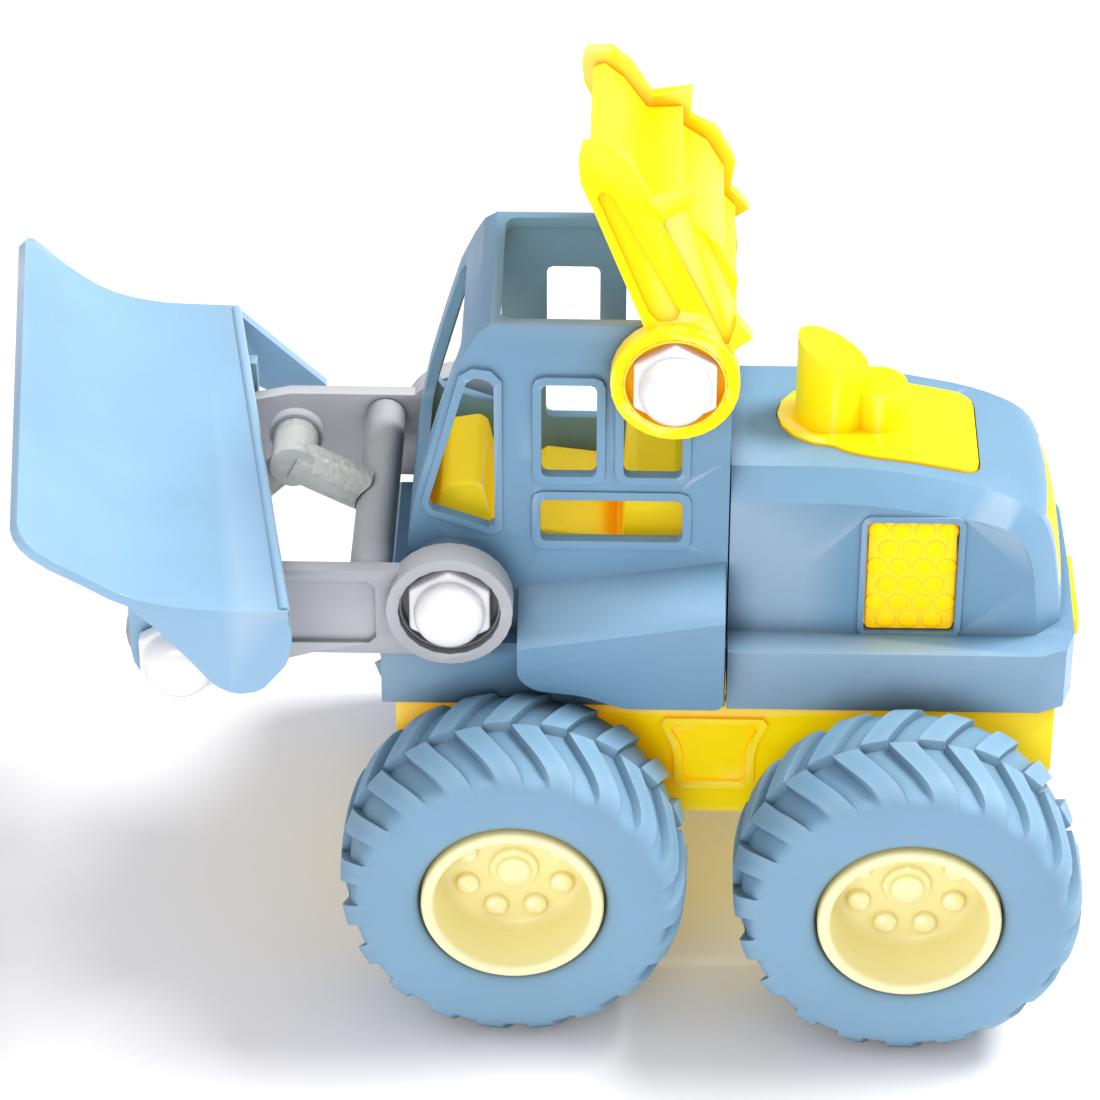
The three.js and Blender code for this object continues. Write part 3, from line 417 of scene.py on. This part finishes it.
def rim(end, side, s):
    """Deep dished wheel with a bright lip, a stepped hub boss and a ring of nut bumps."""
    node = f"rim_{end}_{side}"
    low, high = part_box(node)
    axle = centre(node)
    face = (high.y if s > 0 else -low.y) / MM - abs(axle.y) / MM
    back = -face
    disc = face - DISH_DEPTH
    outer = RIM_R
    profile = [
        (outer, face - 0.8), (outer - 0.25, face - 0.25), (outer - 0.7, face), (outer - 1.7, face),
        (outer - 2.2, face - 0.25), (outer - 2.45, face - 0.9), (outer - 2.7, face - 6),
        (outer - 3.0, disc + 2.2), (outer - 3.5, disc + 0.9), (outer - 4.4, disc + 0.25),
        (outer - 5.4, disc), (4.9, disc), (4.7, disc + 0.15), (4.55, disc + 1.0), (4.35, disc + 1.2),
        (3.5, disc + 1.2), (3.3, disc + 1.35), (3.15, disc + 1.9), (2.9, disc + 2.1), (0, disc + 2.1),
    ]
    inside = [(0, disc - 2), (outer - 2, disc - 2), (outer - 1.6, back), (outer, back)]
    shape = Shape()
    closed = inside + profile
    shape.turned([(r, s * y) for r, y in closed], segments=96)
    bump = [(r, s * (disc + y)) for r, y in NUT_BUMP]
    for k in range(NUT_BUMPS):
        a = math.radians(BUMP_TURN[end] + 360 * k / NUT_BUMPS)
        shape.turned(bump, BUMP_RING_R * math.sin(a), BUMP_RING_R * math.cos(a), 28)
    place(f"{node}_dish", shape, axle, "rim_plastic", [node], sharp=50)


for end in ("front", "rear"):
    for side, s in SIDES:
        tyre(end, side, s)
        rim(end, side, s)

# ---- toy bolts ------------------------------------------------------------------------------

HEX_R = 8.6
HEX_T = 3.0
HEX_CORNER_R = 1.1
HEAD_HEIGHT = 8.0  # from the flange's seat to the top of the cap, in mm
SHANK_R = 3.0
# Half profile of the cap: radius and height over its foot.
CAP = ((6.6, 0.0), (6.6, 1.6), (6.4, 2.6), (5.9, 3.6), (5.0, 4.4), (3.7, 4.95), (2.0, 5.2))


def bolt(kind, side, s):
    """Big plastic bolt: hexagon flange with softened corners, domed cap and plain shank."""
    node = f"{kind}_bolt_{side}"
    low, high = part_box(node)
    middle = centre(node)
    outer = (high.y - middle.y if s > 0 else middle.y - low.y) / MM
    seat = outer - HEAD_HEIGHT
    shape = Shape()
    flange = []
    for k in range(6):
        turn = 60 * k + 90
        reach = HEX_R - HEX_CORNER_R
        x, z = reach * math.cos(math.radians(turn)), reach * math.sin(math.radians(turn))
        flange += arc(x, z, HEX_CORNER_R * 0.95, turn - 30, turn + 30, 4)
    levels = ((0.94, seat), (1.0, seat + 0.35), (1.0, seat + HEX_T - 0.5), (0.965, seat + HEX_T - 0.12),
              (0.92, seat + HEX_T))
    n = len(flange)
    points = [(x * k, s * y, z * k) for k, y in levels for x, z in flange]
    faces = [list(range(n)), list(range(len(points) - 1, len(points) - 1 - n, -1))]
    for row in range(len(levels) - 1):
        here, there = row * n, row * n + n
        faces += [[here + i, here + (i + 1) % n, there + (i + 1) % n, there + i] for i in range(n)]
    shape.add(points, faces)
    foot = seat + HEX_T - 0.2
    dome = [(0, foot - 0.2)] + [(r, foot + y) for r, y in CAP] + [(0, seat + HEAD_HEIGHT)]
    shape.turned([(r, s * y) for r, y in dome], segments=64)
    tip = -outer
    root = seat + 0.5
    shank = [(0, tip), (SHANK_R - 0.4, tip), (SHANK_R, tip + 0.4), (SHANK_R, root), (0, root)]
    shape.turned([(r, s * y) for r, y in shank], segments=32)
    place(f"{node}_head", shape, middle, "bolt_plastic", [node], sharp=45)


for kind in ("loader", "bucket", "boom"):
    for side, s in SIDES:
        bolt(kind, side, s)

# ---- hood vents -----------------------------------------------------------------------------

BUMP_R = 1.95
BUMP_STEP = 4.4
BUMP_ROWS = 6
VENT_MARGIN = 1.5  # the CAD panel's flange outside the visible panel, in mm
PANEL_SINK = 0.7
# Half profile of a vent bump: share of its radius and height from the CAD face.
VENT_BUMP = ((0, -1.2), (1, -1.2), (1, -0.62), (0.86, -0.42), (0.6, -0.33), (0, -0.3))


def vent(side, s):
    """Vent panel covered with staggered rows of shallow round bumps."""
    node = f"side_vent_{side}"
    low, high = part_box(node)
    middle = centre(node)
    half_x = (high.x - low.x) / 2 / MM - VENT_MARGIN
    top = (high.z - middle.z) / MM
    bottom = (low.z - middle.z) / MM + VENT_MARGIN
    face = (high.y - low.y) / 2 / MM
    shape = Shape()
    shape.slab(rounded_box(-half_x, half_x, bottom, top, 1.0), -s * face, s * (face - PANEL_SINK))
    row_step = (top - bottom) / BUMP_ROWS
    bump = [(BUMP_R * share, s * (face + y)) for share, y in VENT_BUMP]
    for row in range(BUMP_ROWS):
        z = bottom + (row + 0.5) * row_step
        across = 4 if row % 2 else 3
        for k in range(across):
            x = (k - (across - 1) / 2) * BUMP_STEP
            shape.turned(bump, x, z, 24)
    place(f"{node}_bumps", shape, middle, "yellow_plastic", [node], bevel=0.15, sharp=45)


for side, s in SIDES:
    vent(side, s)

# ---- ring inserts ---------------------------------------------------------------------------

# Section of the lip: radius and height over the bolt's seat.
RING_LIP = ((9.55, -0.1), (9.55, 1.5), (9.4, 1.9), (9.1, 1.9), (8.95, 1.5), (8.95, -0.1))


def ring_insert(kind, side, s):
    """Raised lip that stands in the recess of an arm ring, around the bolt."""
    node = f"{kind}_bolt_{side}"
    low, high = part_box(node)
    middle = centre(node)
    seat = (high.y - middle.y if s > 0 else middle.y - low.y) / MM - HEAD_HEIGHT
    shape = Shape()
    shape.turned([(r, s * (seat + y)) for r, y in RING_LIP], segments=72)
    arm = f"{kind}_arm_{side}"
    slot = "frame_plastic" if kind == "loader" else "yellow_plastic"
    place(f"{kind}_ring_lip_{side}", shape, middle, slot, [], body=BODY_OF[arm])


for kind in ("loader", "boom"):
    for side, s in SIDES:
        ring_insert(kind, side, s)

# ---- moulded details ------------------------------------------------------------------------


# The two ends of the blade's rear edge: distance ahead of its box's rear and below its top, in mm.
BEAD_RIGHT = (18.3, 17.2)
BEAD_LEFT = (1.2, 17.9)
BEAD_END = 0.8
BEAD_R = 0.75


def bucket_bead():
    """Bead along the rear edge of the blade."""
    low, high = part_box("bucket_shell")
    middle = centre("bucket_shell")
    rear = (low.x - middle.x) / MM
    top = (high.z - middle.z) / MM
    half = (high.y - low.y) / 2 / MM - BEAD_END
    bead = Shape()
    right_end = (rear + BEAD_RIGHT[0], -half, top - BEAD_RIGHT[1])
    left_end = (rear + BEAD_LEFT[0], half, top - BEAD_LEFT[1])
    bead.tube(right_end, left_end, BEAD_R)
    place("bucket_rear_bead", bead, middle, "bucket_plastic", [], body="bucket", bevel=0.3, sharp=50)


BOSS_R = 4.3
BOSS_AHEAD = 16.0  # from the cross tube to the link's boss, in mm
COLLAR = ((4.2, -0.9), (5.0, -0.9), (5.3, -0.6), (5.3, 0.9), (5.0, 1.2), (4.2, 1.2))


def lift_collar():
    """Ring round the far end of the lift link's cross boss."""
    low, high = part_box("loader_lift_link")
    boss = Vector((centre("loader_cross_tube").x + BOSS_AHEAD * MM, low.y, high.z - BOSS_R * MM))
    shape = Shape()
    shape.turned(COLLAR, segments=48)
    place("lift_boss_collar", shape, boss, "frame_plastic", [], body="loader_frame")


bucket_bead()
lift_collar()

# ---- CAD nodes that keep their shape --------------------------------------------------------

CARRIED = {
    "body_plastic": {"cab_shell": 0.5, "hood_shell": 0.8},
    "bucket_plastic": {"bucket_shell": 0.6},
    "yellow_plastic": {
        "chassis_tub": 0.5, "floor_pan": 0.3, "control_console": 0.8, "driver_seat": 0.8, "hood_insert": 0.4,
        "rear_grille": 0.4, "boom_scoop": 0.5, "boom_arm_left": 0.5, "boom_arm_right": 0.5,
        "rear_bumper": 0.5,
    },
    "frame_plastic": {
        "loader_cross_tube": 0.3, "loader_front_tube": 0.3, "loader_lift_link": 0.3,
        "loader_arm_left": 0.35, "loader_arm_right": 0.35,
    },
    "steel": {
        "front_axle": 0.2, "rear_axle": 0.2,
        "chassis_screw_front_left": 0.1, "chassis_screw_front_right": 0.1,
        "chassis_screw_rear_left": 0.1, "chassis_screw_rear_right": 0.1,
    },
}
for slot, members in CARRIED.items():
    for node, width in members.items():
        carried(node, slot, width)

# ---- studio ---------------------------------------------------------------------------------


def floor():
    """A plain pale floor."""
    bpy.ops.mesh.primitive_circle_add(vertices=96, radius=6, fill_type="NGON")
    ground = bpy.context.object
    ground.name = "floor"
    material = bpy.data.materials.new("pale_floor")
    material.use_nodes = True
    shader = material.node_tree.nodes["Principled BSDF"]
    shader.inputs["Base Color"].default_value = (0.93, 0.92, 0.94, 1)
    shader.inputs["Roughness"].default_value = 0.7
    ground.data.materials.append(material)


def area_light(name, location, size, power, target=(0, 0, 0.07)):
    """A round soft box that faces the toy; sizes and places in metres, power in watts."""
    light = bpy.data.lights.new(name, "AREA")
    light.shape = "DISK"
    light.size = size
    light.energy = power
    lamp = bpy.data.objects.new(name, light)
    lamp.location = location
    lamp.rotation_euler = (Vector(target) - Vector(location)).to_track_quat("-Z", "Y").to_euler()
    bpy.context.scene.collection.objects.link(lamp)


def studio():
    """Even pale sky, a key light above and behind the toy, and a soft fill on the photographed side."""
    world = bpy.data.worlds.new("studio")
    bpy.context.scene.world = world
    world.use_nodes = True
    sky = world.node_tree.nodes["Background"]
    sky.inputs["Color"].default_value = (0.985, 0.97, 1.0, 1)
    sky.inputs["Strength"].default_value = 0.66
    area_light("key", (-0.75, -0.2, 1.1), 0.5, 17.0)
    area_light("fill", (0.25, 1.25, 0.7), 0.8, 6.0)
    bpy.context.scene.view_settings.view_transform = "Standard"


CAMERA_PITCH = 34.796
CAMERA_YAW = 1.384
CAMERA_LENS = 145.2
CAMERA_FROM_AXLE = -0.022783  # along x, in metres
CAMERA_OUT = 0.70362
CAMERA_UP = 0.56503


def camera():
    """The photograph's viewpoint: from the vehicle's left, looking down at about 35 degrees."""
    pitch, yaw = math.radians(CAMERA_PITCH), math.radians(CAMERA_YAW)
    forward = Vector((math.sin(yaw) * math.cos(pitch), -math.cos(yaw) * math.cos(pitch), -math.sin(pitch)))
    right = Vector((-math.cos(yaw), -math.sin(yaw), 0))
    up = right.cross(forward)
    data = bpy.data.cameras.new("camera")
    data.sensor_width = 36
    data.lens = CAMERA_LENS
    data.clip_start, data.clip_end = 0.01, 50
    eye = bpy.data.objects.new("camera", data)
    stand = Vector((centre("front_axle").x + CAMERA_FROM_AXLE, CAMERA_OUT, CAMERA_UP))
    eye.matrix_world = Matrix.Translation(stand) @ Matrix((right, up, -forward)).transposed().to_4x4()
    bpy.context.scene.collection.objects.link(eye)
    bpy.context.scene.camera = eye


floor()
studio()
camera()
